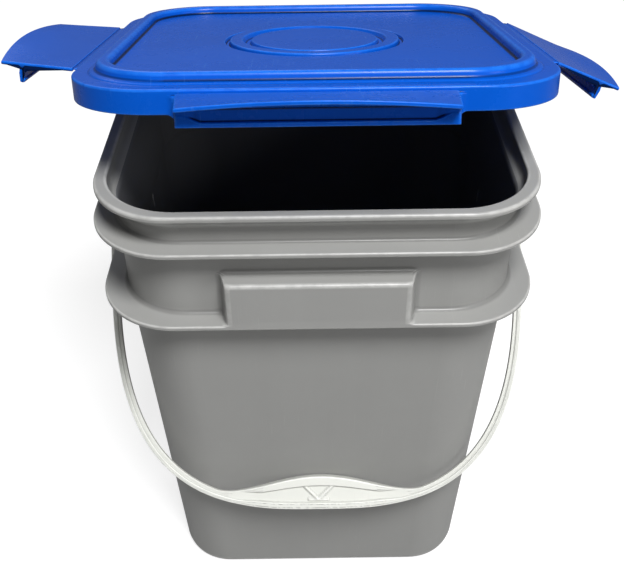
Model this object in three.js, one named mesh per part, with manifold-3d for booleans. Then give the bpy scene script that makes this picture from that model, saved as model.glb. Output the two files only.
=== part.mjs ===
// Square wash bucket: a tapered pail with two stiffening flanges and two grip pockets,
// a drop handle, and a lift-off lid with four latches on living hinges.
// Millimetres, +Z up, the front is -Y. The origin is at the centre of the pail's underside.
// At rest the lid stands ajar: its rear edge sits on the rim and its front edge is raised.
import * as THREE from 'three';
import { mergeVertices } from 'three/addons/utils/BufferGeometryUtils.js';
import Module from 'manifold-3d';

const wasm = await Module();
wasm.setup();

// Pail
const pailHeight = 370.8;
const rimHalf = 137.5; // half the width over the rim
const rimWidth = 7.6;
const rimDepth = 4;
const rimCorner = 49.8; // corner radius in plan, round the outside of the rim
const cornerGrowth = 0.45; // how fast the corner radius grows with the half width
const neckInset = 10; // from the rim's edge in to the straight neck under it
const bodyStep = 0.5; // from the neck out to the top of the tapered body
const draft = 0.0423; // how much the body's half width grows for each millimetre of height
const wall = 2.4;
const floorThickness = 3;
const baseFillet = 7;
const flangeThickness = 3;
const upperFlangeStep = 3.2; // how far the upper flange stands out past the rim
const upperFlangeDrop = 27.5; // from the rim's top down to the underside of the upper flange
const lowerFlangeStep = 4.4;
const lowerFlangeDrop = 82.4;
const cornerSteps = 9;

// Grip pockets on the front and the rear
const gripHalf = 57;
const gripHeight = 35;
const gripRadius = 4;
const flushStep = 0.3; // the pocket's face stays this far inside the lower flange

// Ears and the drop handle
const earRadius = 11;
const earDrop = 12.4; // from the lower flange's underside down to the handle's pivot
const pinRadius = 5;
const pinClearance = 0.6;
const pinEngagement = 10;
const handleSideGap = 8.3; // between the lower flange's edge and each handle arm
const handleSpare = 78.1; // how far the handle reaches past the half width over the lower flange
const strapWidth = 5.5;
const strapDepth = 6.4;
const strapExponent = 3;
const strapStraight = 20; // the straight stretch of each arm next to its pivot
const handleGripWidth = 24.5;
const handleGripHalf = 70;
const handleGripDepth = 10;
const gripBorder = 3.4;
const gripRecess = 4;
const ribWidth = 2.4;
const wallRest = 0.55; // air left between the resting grip and the pail

// Lid
const lidGap = 1.7; // from the rim's top to the underside of the lid's flange, where the gasket lies
const lidThickness = 2.5;
const skirtClearance = 3; // between the rim and the inside of the lid's skirt
const skirtThickness = 2.5;
const skirtDepth = 11.5;
const shoulder = 5;
const beadInset = 13; // from the skirt's outer face to the bead's outer edge
const beadWidth = 8.2;
const beadHeight = 6.4; // above the flange's top
const beadRound = 2.5;
const panelHeight = 0.9; // above the flange's top
const emblemRadius = 58.5;
const emblemBand = 10;
const emblemDisc = 43;
const emblemHeight = 1.1;
const lidTilt = 0.2307;
const swingBehind = 12.7; // the line that the lid turns about, behind the rear latch hinge
const swingBelow = 61.4; // and below it

// Gasket
const gasketThickness = 1.1;
const gasketWidth = 5.4;
const seatGap = 0.3;

// Latches
const latchHalf = 76;
const latchWidth = 45;
const latchNarrowing = 5.5;
const latchBow = 5;
const latchLift = 4;
const latchThickness = 2.2;
const latchRoot = 0.6; // from the hinge line to the plate's edge
const hookThickness = 2.6;
const hookReach = 10.7; // from the hinge plane to the hook's tip
const hookClearance = 1.6; // under the upper flange
const apronStep = 2.5;
const apronTop = 1; // the apron's top lies this far under the hinge line
const apronDepth = 15;
const apronFillet = 8;
const apronGap = 1.5; // from the apron's face out to the hinge line
const webThickness = 0.5;
const webWidth = 2.9;
const restRaise = { front: 4, right: -23, rear: -12, left: 5 }; // degrees above the lid's plane
const sideTurn = { front: 0, right: 90, rear: 180, left: 270 };

// Sizes that follow from the ones above
const neckHalf = rimHalf - neckInset;
const upperFlangeHalf = rimHalf + upperFlangeStep;
const lowerFlangeHalf = rimHalf + lowerFlangeStep;
const upperFlangeZ = pailHeight - upperFlangeDrop;
const lowerFlangeZ = pailHeight - lowerFlangeDrop;
const pivotZ = lowerFlangeZ - earDrop;
const skirtHalf = rimHalf + skirtClearance + skirtThickness;
const apronHalf = skirtHalf + apronStep;
const hingeHalf = apronHalf + apronGap;
const lidZ = pailHeight + lidGap; // underside of the lid's flange when shut, and the hinge plane
const hookStart = lidZ - upperFlangeZ + hookClearance;
const gripFace = lowerFlangeHalf - flushStep;
const handleHalf = lowerFlangeHalf + handleSideGap + strapWidth;
const handleReach = lowerFlangeHalf + handleSpare; // from the pivot to the grip's outer edge
const bodyHalf = (z) => neckHalf + bodyStep - draft * (lowerFlangeZ - z);
const cornerAt = (half) => rimCorner + cornerGrowth * (half - rimHalf);

const grey = { color: 0x82837f, roughness: 0.5, metalness: 0 };
const blue = { color: 0x0f55c8, roughness: 0.38, metalness: 0 };
const white = { color: 0xf2f2ec, roughness: 0.4, metalness: 0 };
const black = { color: 0x26282a, roughness: 0.75, metalness: 0 };

// Turns a closed three.js geometry into a solid that can be joined and cut.
function solid(geometry) {
  const bare = geometry.clone();
  bare.deleteAttribute('normal');
  bare.deleteAttribute('uv');
  const merged = mergeVertices(bare, 1e-4);
  const index = merged.index.array;
  const kept = [];
  for (let i = 0; i < index.length; i += 3) {
    const [a, b, c] = [index[i], index[i + 1], index[i + 2]];
    if (a !== b && b !== c && a !== c) kept.push(a, b, c);
  }
  return new wasm.Manifold(new wasm.Mesh({
    numProp: 3,
    vertProperties: new Float32Array(merged.attributes.position.array),
    triVerts: new Uint32Array(kept),
  }));
}

function namedMesh(name, body, look) {
  const result = body.getMesh();
  const geometry = new THREE.BufferGeometry();
  geometry.setAttribute('position', new THREE.BufferAttribute(result.vertProperties, 3));
  geometry.setIndex(new THREE.BufferAttribute(result.triVerts, 1));
  geometry.computeVertexNormals();
  const mesh = new THREE.Mesh(geometry, new THREE.MeshStandardMaterial(look));
  mesh.name = name;
  return mesh;
}

// A lathe whose rounds are pressed into rounded squares. The profile is a list of [half width, z],
// and each point's corner radius follows from its half width.
function squareLathe(profile) {
  const steps = 4 * (cornerSteps + 1);
  const outline = profile.map(([half, z]) => new THREE.Vector2(half, z));
  const geometry = new THREE.LatheGeometry(outline, steps);
  const position = geometry.attributes.position;
  for (let i = 0; i <= steps; i += 1) {
    const quarter = Math.floor(i / (cornerSteps + 1)) % 4;
    const step = i % (cornerSteps + 1);
    const angle = (quarter - 1 + step / cornerSteps) * Math.PI / 2;
    const sideX = quarter < 2 ? 1 : -1;
    const sideY = quarter === 1 || quarter === 2 ? 1 : -1;
    profile.forEach(([half, z], j) => {
      const radius = Math.min(cornerAt(half), half);
      const x = half ? sideX * (half - radius) + radius * Math.cos(angle) : 0;
      const y = half ? sideY * (half - radius) + radius * Math.sin(angle) : 0;
      position.setXYZ(i * profile.length + j, x, y, z);
    });
  }
  return geometry;
}

// Points of a quarter round in a profile, from one angle to another, in degrees.
function quarterRound(half, z, radius, from, to, steps = 4) {
  return Array.from({ length: steps + 1 }, (_, i) => {
    const angle = THREE.MathUtils.degToRad(from + (to - from) * i / steps);
    return [half + radius * Math.cos(angle), z + radius * Math.sin(angle)];
  });
}

function box(x0, x1, y0, y1, z0, z1) {
  const geometry = new THREE.BoxGeometry(x1 - x0, y1 - y0, z1 - z0);
  geometry.translate((x0 + x1) / 2, (y0 + y1) / 2, (z0 + z1) / 2);
  return solid(geometry);
}

// A round bar along X between two places.
function bar(radius, x0, x1, y, z) {
  const geometry = new THREE.CylinderGeometry(radius, radius, x1 - x0, 40);
  geometry.rotateZ(Math.PI / 2);
  geometry.translate((x0 + x1) / 2, y, z);
  return solid(geometry);
}

function pailShell() {
  const baseRound = quarterRound(bodyHalf(baseFillet) - baseFillet, baseFillet, baseFillet, -90, 0);
  const innerFillet = baseFillet - 1;
  const innerZ = floorThickness + innerFillet;
  const floorRound = quarterRound(bodyHalf(innerZ) - wall - innerFillet, innerZ, innerFillet, 0, -90);
  const rimInner = rimHalf - rimWidth;
  const rimRoot = rimInner + wall;
  const flareTop = pailHeight - rimDepth - 5;
  const flareFoot = flareTop - 5;
  return solid(squareLathe([
    [0, 0],
    ...baseRound,
    [bodyHalf(lowerFlangeZ), lowerFlangeZ],
    [lowerFlangeHalf, lowerFlangeZ],
    [lowerFlangeHalf, lowerFlangeZ + flangeThickness],
    [neckHalf, lowerFlangeZ + flangeThickness],
    [neckHalf, upperFlangeZ],
    [upperFlangeHalf, upperFlangeZ],
    [upperFlangeHalf, upperFlangeZ + flangeThickness],
    [neckHalf, upperFlangeZ + flangeThickness],
    [neckHalf, flareFoot],
    [rimRoot, flareTop],
    [rimRoot, pailHeight - rimDepth],
    [rimHalf, pailHeight - rimDepth],
    ...quarterRound(rimHalf - 1.5, pailHeight - 1.5, 1.5, 0, 90, 3),
    ...quarterRound(rimInner + 1.5, pailHeight - 1.5, 1.5, 90, 180, 3),
    [rimInner, flareTop],
    [neckHalf - wall, flareFoot],
    [neckHalf - wall, lowerFlangeZ + flangeThickness],
    [bodyHalf(lowerFlangeZ) - wall, lowerFlangeZ],
    ...floorRound,
    [0, floorThickness],
  ]));
}

// A box-shaped finger grip, open underneath, on the front (-1) or the rear (1).
function gripPocket(side) {
  const depth = gripFace - neckHalf + 1;
  const across = gripHalf - gripRadius;
  const outline = new THREE.Shape();
  outline.moveTo(-gripHalf, 0);
  outline.lineTo(-gripHalf, depth - gripRadius);
  outline.absarc(-across, depth - gripRadius, gripRadius, Math.PI, Math.PI / 2, true);
  outline.lineTo(across, depth);
  outline.absarc(across, depth - gripRadius, gripRadius, Math.PI / 2, 0, true);
  outline.lineTo(gripHalf, 0);
  const block = new THREE.ExtrudeGeometry(outline, { depth: gripHeight, bevelEnabled: false, curveSegments: 6 });
  block.translate(0, neckHalf - 1, lowerFlangeZ);
  const hollow = box(
    -(gripHalf - wall), gripHalf - wall,
    bodyHalf(lowerFlangeZ) + flushStep, gripFace - wall,
    lowerFlangeZ - flangeThickness, lowerFlangeZ + gripHeight - wall,
  );
  const turn = side > 0 ? 0 : 180;
  return [solid(block).rotate([0, 0, turn]), hollow.rotate([0, 0, turn])];
}

// The round boss that a handle pin turns in, on the left (-1) or the right (1).
function handleEar(side) {
  const root = bodyHalf(pivotZ) - 1;
  const face = lowerFlangeHalf - 1;
  const boss = bar(earRadius, root, face, 0, pivotZ);
  const gusset = box(root, face - 2, -ribWidth, ribWidth, pivotZ, lowerFlangeZ + 1);
  const bore = bar(pinRadius + pinClearance, face - pinEngagement - pinClearance, face + 1, 0, pivotZ);
  const turn = side > 0 ? 0 : 180;
  return [boss.add(gusset).rotate([0, 0, turn]), bore.rotate([0, 0, turn])];
}

function pail() {
  let body = pailShell();
  for (const side of [-1, 1]) {
    const [block, hollow] = gripPocket(side);
    const [ear, bore] = handleEar(side);
    body = body.add(block).subtract(hollow).add(ear).subtract(bore);
  }
  return namedMesh('pail', body, grey);
}

// The handle lies in a plane: x across, y down from the pivot. The outer edge is straight next to
// the pivots and a superellipse below; the inner edge follows it and swells up over the grip.
function handleEdge(inset, swell, from, to, steps) {
  const across = handleHalf - inset;
  const down = handleReach - strapStraight - inset;
  return Array.from({ length: steps + 1 }, (_, i) => {
    const angle = from + (to - from) * i / steps;
    const x = across * Math.sign(Math.cos(angle)) * Math.abs(Math.cos(angle)) ** (2 / strapExponent);
    const y = strapStraight + down * Math.abs(Math.sin(angle)) ** (2 / strapExponent);
    const inGrip = Math.max(0, 1 - (x / handleGripHalf) ** 2);
    return new THREE.Vector2(x, y - swell * inGrip ** 1.15);
  });
}

function plate(points, depth) {
  const shape = new THREE.Shape(points);
  const geometry = new THREE.ExtrudeGeometry(shape, { depth, bevelEnabled: false });
  geometry.translate(0, 0, -depth / 2);
  return solid(geometry);
}

function dropHandle() {
  const steps = 56;
  const swell = handleGripWidth - strapWidth;
  const outer = handleEdge(0, 0, 0, Math.PI, steps);
  const inner = handleEdge(strapWidth, 0, 0, Math.PI, steps).reverse();
  const top = -earRadius / 2;
  const strap = plate([
    new THREE.Vector2(handleHalf, top),
    ...outer,
    new THREE.Vector2(-handleHalf, top),
    new THREE.Vector2(strapWidth - handleHalf, top),
    ...inner,
    new THREE.Vector2(handleHalf - strapWidth, top),
  ], strapDepth);
  const lensHalf = handleGripHalf - 1;
  const inGrip = (point) => Math.abs(point.x) < lensHalf;
  const lensOuter = handleEdge(0, 0, 0, Math.PI, 2 * steps).filter(inGrip);
  const lensInner = handleEdge(strapWidth, swell, 0, Math.PI, 2 * steps).filter(inGrip).reverse();
  const lens = plate([...lensOuter, ...lensInner], handleGripDepth);
  const inRecess = (point) => Math.abs(point.x) < lensHalf - 3 * gripBorder;
  const recessOuter = handleEdge(gripBorder, 0, 0, Math.PI, 2 * steps).filter(inRecess);
  const recessInner = handleEdge(strapWidth - gripBorder, swell - 2 * gripBorder, 0, Math.PI, 2 * steps)
    .filter(inRecess).reverse();
  let recess = plate([...recessOuter, ...recessInner], gripRecess)
    .translate([0, 0, -(handleGripDepth - gripRecess) / 2 - 0.5]);
  for (const lean of [-1, 1]) {
    const rib = new THREE.BoxGeometry(ribWidth, 3 * handleGripWidth, 2 * handleGripDepth);
    rib.rotateZ(lean * Math.PI / 3);
    rib.translate(0, handleReach - handleGripWidth / 2, 0);
    recess = recess.subtract(solid(rib));
  }
  let body = strap.add(lens).subtract(recess);
  const earFace = lowerFlangeHalf - 1;
  for (const side of [-1, 1]) {
    const pin = bar(pinRadius, earFace - pinEngagement, handleHalf - 1, 0, 0);
    const washer = bar(earRadius - 3, earFace + 1, handleHalf, 0, 0);
    body = body.add(pin.add(washer).rotate([0, side > 0 ? 0 : 180, 0]));
  }
  return namedMesh('drop_handle', body, white);
}

// Where the pail's front wall is at a height, for a place across it, round the corner as well.
function wallFront(x, z) {
  const half = bodyHalf(z);
  const radius = cornerAt(half);
  const past = Math.abs(x) - (half - radius);
  if (past > radius) return -Infinity;
  return half - radius + Math.sqrt(radius ** 2 - Math.max(0, past) ** 2);
}

// The handle's angle from straight down once its inner edge comes to rest on the pail's front wall.
function handleRestAngle() {
  const swell = handleGripWidth - strapWidth;
  const strap = handleEdge(strapWidth, 0, 0, Math.PI, 60);
  const grip = handleEdge(strapWidth, swell, 0, Math.PI, 60);
  const edge = [
    ...strap.map(({ x, y }) => [x, y, strapDepth / 2]),
    ...grip.filter(({ x }) => Math.abs(x) < handleGripHalf).map(({ x, y }) => [x, y, handleGripDepth / 2]),
  ];
  const gap = (angle) => Math.min(...edge.map(([x, reach, back]) => {
    const front = reach * Math.sin(angle) - back * Math.cos(angle);
    const z = pivotZ - reach * Math.cos(angle) - back * Math.sin(angle);
    return front - wallFront(x, z) - wallRest;
  }));
  let [low, high] = [0.2, 1.4];
  for (let i = 0; i < 40; i += 1) {
    const middle = (low + high) / 2;
    if (gap(middle) > 0) high = middle;
    else low = middle;
  }
  return high;
}

// A strip around the emblem, standing on the lid's panel.
function emblemRing(inner, outer, z, height) {
  const edge = 0.5;
  const geometry = new THREE.LatheGeometry([
    new THREE.Vector2(inner, z - 1),
    new THREE.Vector2(outer, z - 1),
    new THREE.Vector2(outer, z + height - edge),
    new THREE.Vector2(outer - edge, z + height),
    new THREE.Vector2(inner + (inner ? edge : 0), z + height),
    new THREE.Vector2(inner, z + height - (inner ? edge : 0)),
    new THREE.Vector2(inner, z - 1),
  ], 64);
  geometry.rotateX(Math.PI / 2);
  return solid(geometry);
}

// The step that carries one latch, out from the skirt, with hollow rounds at its ends.
function latchApron(turn) {
  const outline = new THREE.Shape();
  const end = latchHalf + apronFillet;
  outline.moveTo(-end, -(skirtHalf - 1));
  outline.lineTo(-end, -skirtHalf);
  outline.quadraticCurveTo(-latchHalf, -skirtHalf, -latchHalf, -apronHalf);
  outline.lineTo(latchHalf, -apronHalf);
  outline.quadraticCurveTo(latchHalf, -skirtHalf, end, -skirtHalf);
  outline.lineTo(end, -(skirtHalf - 1));
  const depth = apronDepth - apronTop;
  const geometry = new THREE.ExtrudeGeometry(outline, { depth, bevelEnabled: false, curveSegments: 6 });
  geometry.translate(0, 0, -apronDepth);
  return solid(geometry).rotate([0, 0, turn]);
}

// The lid is drawn shut, with z measured from the underside of its flange.
function lid() {
  const skirtInner = skirtHalf - skirtThickness;
  const beadOuter = skirtHalf - beadInset;
  const beadInner = beadOuter - beadWidth;
  const beadTop = lidThickness + beadHeight;
  const panelTop = lidThickness + panelHeight;
  const panelUnder = panelTop - lidThickness;
  let body = solid(squareLathe([
    [0, panelUnder],
    [beadInner + lidThickness, panelUnder],
    [beadInner + lidThickness, beadTop - lidThickness],
    [beadOuter - lidThickness, beadTop - lidThickness],
    [beadOuter - lidThickness, 0],
    [skirtInner, 0],
    [skirtInner, -skirtDepth],
    [skirtHalf, -skirtDepth],
    ...quarterRound(skirtHalf - shoulder, lidThickness - shoulder, shoulder, 0, 90, 5),
    [beadOuter, lidThickness],
    ...quarterRound(beadOuter - beadRound, beadTop - beadRound, beadRound, 0, 90),
    ...quarterRound(beadInner + beadRound, beadTop - beadRound, beadRound, 90, 180),
    [beadInner, panelTop],
    [0, panelTop],
  ]));
  for (const turn of Object.values(sideTurn)) body = body.add(latchApron(turn));
  body = body.add(emblemRing(emblemRadius - emblemBand, emblemRadius, panelTop, emblemHeight));
  body = body.add(emblemRing(0, emblemDisc, panelTop, emblemHeight / 2));
  return namedMesh('lid', body, blue);
}

function gasket() {
  const inner = rimHalf - rimWidth + (rimWidth - gasketWidth) / 2;
  const outer = inner + gasketWidth;
  const top = -seatGap;
  return namedMesh('lid_gasket', solid(squareLathe([
    [inner, top - gasketThickness],
    [outer, top - gasketThickness],
    [outer, top],
    [inner, top],
    [inner, top - gasketThickness],
  ])), black);
}

// A latch lies flat with its hinge line on X and its free edge towards -Y. The free edge bows out
// and lifts in the middle, and the hook that snaps under the pail's upper flange hangs below.
function latch(side) {
  const geometry = new THREE.BoxGeometry(1, 1, 1, 14, 8, 1);
  const position = geometry.attributes.position;
  for (let i = 0; i < position.count; i += 1) {
    const along = 2 * position.getX(i);
    const out = 0.5 - position.getY(i);
    const middle = 1 - along ** 2;
    const lip = Math.max(0, (out - 0.6) / 0.4);
    position.setXYZ(
      i,
      along * (latchHalf - latchNarrowing * out),
      -latchRoot - out * (latchWidth - latchRoot + latchBow * middle),
      position.getZ(i) * latchThickness + latchLift * middle * lip ** 2,
    );
  }
  const hook = new THREE.Shape();
  hook.moveTo(hookStart, 0);
  hook.lineTo(hookStart, 1 - hookReach);
  hook.lineTo(hookStart + 0.6, -hookReach);
  hook.lineTo(hookStart + hookThickness - 0.6, -hookReach);
  hook.lineTo(hookStart + hookThickness, 1 - hookReach);
  hook.lineTo(hookStart + hookThickness + 0.4, 0);
  const length = 2 * (latchHalf - latchNarrowing);
  const rail = new THREE.ExtrudeGeometry(hook, { depth: length, bevelEnabled: false });
  rail.translate(0, 0, -length / 2);
  rail.rotateX(Math.PI / 2);
  rail.rotateZ(-Math.PI / 2);
  return namedMesh(`latch_${side}`, solid(geometry).add(solid(rail)), blue);
}

function hingeWeb(side) {
  const outer = latchRoot - seatGap;
  const half = latchHalf - 1;
  const strip = box(-half, half, -outer, webWidth - outer, -webThickness / 2, webThickness / 2);
  return namedMesh(`hinge_web_${side}`, strip, blue);
}

const group = new THREE.Group();
group.add(pail());

const handle = dropHandle();
handle.position.set(0, 0, pivotZ);
handle.rotation.x = -Math.PI / 2 - handleRestAngle();
group.add(handle);

const swing = new THREE.Group();
swing.position.set(0, hingeHalf + swingBehind, lidZ - swingBelow);
swing.rotation.x = -lidTilt;
group.add(swing);

const shut = new THREE.Group();
shut.position.set(0, -(hingeHalf + swingBehind), swingBelow);
shut.add(lid(), gasket());
swing.add(shut);

for (const [side, turn] of Object.entries(sideTurn)) {
  const edge = new THREE.Group();
  edge.rotation.z = THREE.MathUtils.degToRad(turn);
  const web = hingeWeb(side);
  web.position.y = -hingeHalf;
  const flap = latch(side);
  flap.position.y = -hingeHalf;
  flap.rotation.x = -THREE.MathUtils.degToRad(restRaise[side]);
  edge.add(web, flap);
  shut.add(edge);
}

export default group;
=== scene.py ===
import math

import bpy
import numpy as np
from mathutils import Matrix


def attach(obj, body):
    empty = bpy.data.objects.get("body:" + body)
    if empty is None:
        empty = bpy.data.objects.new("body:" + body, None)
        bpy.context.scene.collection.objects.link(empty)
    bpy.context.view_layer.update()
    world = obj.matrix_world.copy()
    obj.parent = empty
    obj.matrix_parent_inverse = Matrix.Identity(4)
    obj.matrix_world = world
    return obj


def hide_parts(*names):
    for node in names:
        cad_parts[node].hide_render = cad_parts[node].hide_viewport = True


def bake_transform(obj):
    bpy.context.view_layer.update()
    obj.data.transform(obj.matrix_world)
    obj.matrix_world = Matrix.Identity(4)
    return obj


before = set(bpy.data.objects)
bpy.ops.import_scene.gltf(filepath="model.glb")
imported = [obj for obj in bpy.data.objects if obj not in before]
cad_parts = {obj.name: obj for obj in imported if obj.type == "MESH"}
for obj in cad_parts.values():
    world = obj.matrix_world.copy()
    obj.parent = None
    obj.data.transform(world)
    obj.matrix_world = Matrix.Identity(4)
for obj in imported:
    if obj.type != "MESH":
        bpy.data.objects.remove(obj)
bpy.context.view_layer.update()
print("frame loaded")

# Sizes are in millimetres, and meshes are put in in metres. The front of the bucket is -Y.
plan = {
    "rimHalf": 137.5,
    "rimCorner": 49.8,
    "cornerGrowth": 0.45,
}
lidPlace = {
    "hingeY": 159.7,  # the line that the lid tips about
    "hingeZ": 311.1,
    "below": 61.4,
    "tilt": 0.2307,
}
pivotHeight = 276.0


# Nought below low, one above high, and between them 3 t squared less 2 t cubed.
def smooth(low, high, x):
    t = np.clip((np.asarray(x, float) - low) / (high - low), 0, 1)
    return t * t * (3 - 2 * t)


# Rounds every inner corner of a line of points, given as (..., corners, 2) with one cut-back length
# for each corner: a quadratic curve from that far back on one edge to as far along the next, or to
# 0.45 of the shorter edge. Straight stretches get points of their own, one a guard's length from each
# end and some inner ones, so that smooth shading stays flat there.
def softLine(corners, cuts, closed=False, steps=6, guard=0.3, inner=2):
    corners = np.asarray(corners, float)
    cuts = np.broadcast_to(np.asarray(cuts, float), corners.shape[:-1])
    if closed:
        before, here, after = np.roll(corners, 1, -2), corners, np.roll(corners, -1, -2)
        cut = cuts
    else:
        before, here, after = corners[..., :-2, :], corners[..., 1:-1, :], corners[..., 2:, :]
        cut = cuts[..., 1:-1]
    toBefore, toAfter = before - here, after - here
    lengthBefore = np.linalg.norm(toBefore, axis=-1, keepdims=True)
    lengthAfter = np.linalg.norm(toAfter, axis=-1, keepdims=True)
    cut = np.minimum(cut[..., None], 0.45 * np.minimum(lengthBefore, lengthAfter))
    start = here + toBefore / lengthBefore * cut
    end = here + toAfter / lengthAfter * cut
    t = np.linspace(0, 1, steps + 1)[:, None]
    arcs = (
        start[..., None, :] * (1 - t) ** 2
        + here[..., None, :] * 2 * t * (1 - t)
        + end[..., None, :] * t ** 2
    )
    if closed:
        nextStart = np.roll(start, -1, -2)
    else:
        nextStart = np.concatenate([start[..., 1:, :], corners[..., -1:, :]], -2)
    run = nextStart - end
    length = np.linalg.norm(run, axis=-1)[..., None, None]
    near = np.minimum(guard / np.maximum(length, 1e-9), 0.2)
    middle = np.linspace(0, 1, inner + 2)[1:-1][:, None] * np.ones_like(near)
    parts = np.concatenate([near, middle, 1 - near], -2)
    straights = end[..., None, :] + run[..., None, :] * parts
    line = np.concatenate([arcs, straights], -2)
    line = line.reshape(*line.shape[:-3], -1, 2)
    if closed:
        return line
    first = corners[..., :1, :]
    lead = start[..., :1, :] - first
    leadSteps = first + lead * np.linspace(0, 1, 4)[:-1][:, None]
    return np.concatenate([leadSteps, line, corners[..., -1:, :]], -2)


# A surface round a rounded square. Each profile row (half width, z) is one outline in plan: along a
# side a point is (across, out), with out the half width, and round a corner both are the flat plus the
# corner radius times sine and cosine. Stops are the places across that keep their x in every row.
# change(across, out, z, side) may move the points of one side. The result is (rows, round, 3).
def squareLoft(profile, stops, turns=22, edgeSteps=4, change=None):
    half, z = profile[:, :1], profile[:, 1:2]
    radius = plan["rimCorner"] + plan["cornerGrowth"] * (half - plan["rimHalf"])
    radius = np.clip(radius, 0, half)
    flat = half - radius
    limit = np.max(stops)
    centre = np.minimum(limit, 0.96 * flat)
    edge = np.sin(np.linspace(0, np.pi / 2, edgeSteps + 1)[1:])
    right = centre + (flat - centre) * edge
    turn = np.linspace(0, np.pi / 2, turns + 2)[1:-1]
    across = np.concatenate(
        [-right[:, ::-1], centre * stops / limit, right, flat + radius * np.sin(turn)], 1
    )
    out = np.concatenate(
        [half + 0 * right, half + 0 * stops, half + 0 * right, flat + radius * np.cos(turn)], 1
    )
    height = z + 0 * across
    sides = []
    for side in range(4):
        a, o, h = change(across, out, height, side) if change else (across, out, height)
        c, s = ((1, 0), (0, 1), (-1, 0), (0, -1))[side]
        sides.append(np.stack([a * c + o * s, a * s - o * c, h], -1))
    return np.concatenate(sides, 1)


# Places across for squareLoft, from lists of places on one half: sorted, thinned to more than 0.3
# apart, cut off past limit and mirrored.
def mirroredStops(lists, limit=math.inf):
    stops = np.unique(np.round(np.concatenate(lists), 2))
    stops = stops[np.concatenate([[True], np.diff(stops) > 0.3])]
    stops = stops[stops <= limit]
    return np.concatenate([-stops[:0:-1], stops])


# Faces of a grid that is closed round its columns. With poles, the first and last rows are single
# points with a fan of triangles, and with a ring the last row joins the first.
def closedGrid(grid, poles=True, ring=False, caps=False):
    rows, columns = grid.shape[:2]
    index = np.arange(rows * columns).reshape(rows, columns)
    nextIndex = np.roll(index, -1, 1)
    first, last = (1, rows - 1) if poles else (0, rows)
    low, high = index[first:last - 1], index[first + 1:last]
    lowNext, highNext = nextIndex[first:last - 1], nextIndex[first + 1:last]
    if ring:
        low, high = index, np.roll(index, -1, 0)
        lowNext, highNext = nextIndex, np.roll(nextIndex, -1, 0)
    quads = np.stack([low, lowNext, highNext, high], -1).reshape(-1, 4)
    points = grid.reshape(-1, 3)
    tris = np.zeros((0, 3), int)
    if poles or caps:
        tip, root = (1, rows - 2) if poles else (0, rows - 1)
        centres = np.stack([grid[0].mean(0), grid[-1].mean(0)])
        ends = [len(points), len(points) + 1]
        points = np.concatenate([points, centres])
        tris = np.concatenate([
            np.stack([np.full(columns, ends[0]), nextIndex[tip], index[tip]], -1),
            np.stack([np.full(columns, ends[1]), index[root], nextIndex[root]], -1),
        ])
    return {"points": points, "quads": quads, "tris": tris}


# A profile (radius, along) turned round a line that runs along X through a place: cosine and sine of
# the turn times the radius, and along, or its mirror image, on X. Both ends lie on the line.
def turned(profile, place, flip, steps=48):
    angle = np.linspace(0, 2 * np.pi, steps, endpoint=False)
    radius, along = profile[:, :1], profile[:, 1:2]
    grid = np.stack([along * flip + 0 * angle, radius * np.cos(angle), radius * np.sin(angle)], -1)
    return closedGrid(grid + np.asarray(place, float))


# A value raised to a power with its sign kept.
def bent(value, power):
    return np.sign(value) * np.abs(value) ** power


# Corners of one section for each station: every (out, up, cut) may hold a number or one value for
# each station. The result is (stations, corners, 3).
def stackedCorners(corners, stations):
    one = np.ones(stations)
    return np.stack([np.stack([value * one for value in corner], -1) for corner in corners], 1)


# A small block with soft edges: a sphere's sines and cosines raised to a low power and stretched.
def softBlock(centre, size, power=0.22, steps=14):
    u = np.linspace(-np.pi / 2, np.pi / 2, steps + 1)[:, None]
    v = np.linspace(0, 2 * np.pi, 2 * steps, endpoint=False)[None, :]
    unit = np.stack([
        bent(np.cos(u), power) * bent(np.cos(v), power),
        bent(np.cos(u), power) * bent(np.sin(v), power),
        bent(np.sin(u), power) + 0 * v,
    ], -1)
    return closedGrid(np.asarray(centre, float) + unit * np.asarray(size, float) / 2)


# Six times a shell's volume, positive when its faces point outwards.
def signedVolume(shell):
    p = shell["points"]
    quads, tris = shell["quads"], shell["tris"]
    corners = np.concatenate([quads[:, [0, 1, 2]], quads[:, [0, 2, 3]], tris])
    a, b, c = p[corners[:, 0]], p[corners[:, 1]], p[corners[:, 2]]
    return float(np.sum(a * np.cross(b, c)))


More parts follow.
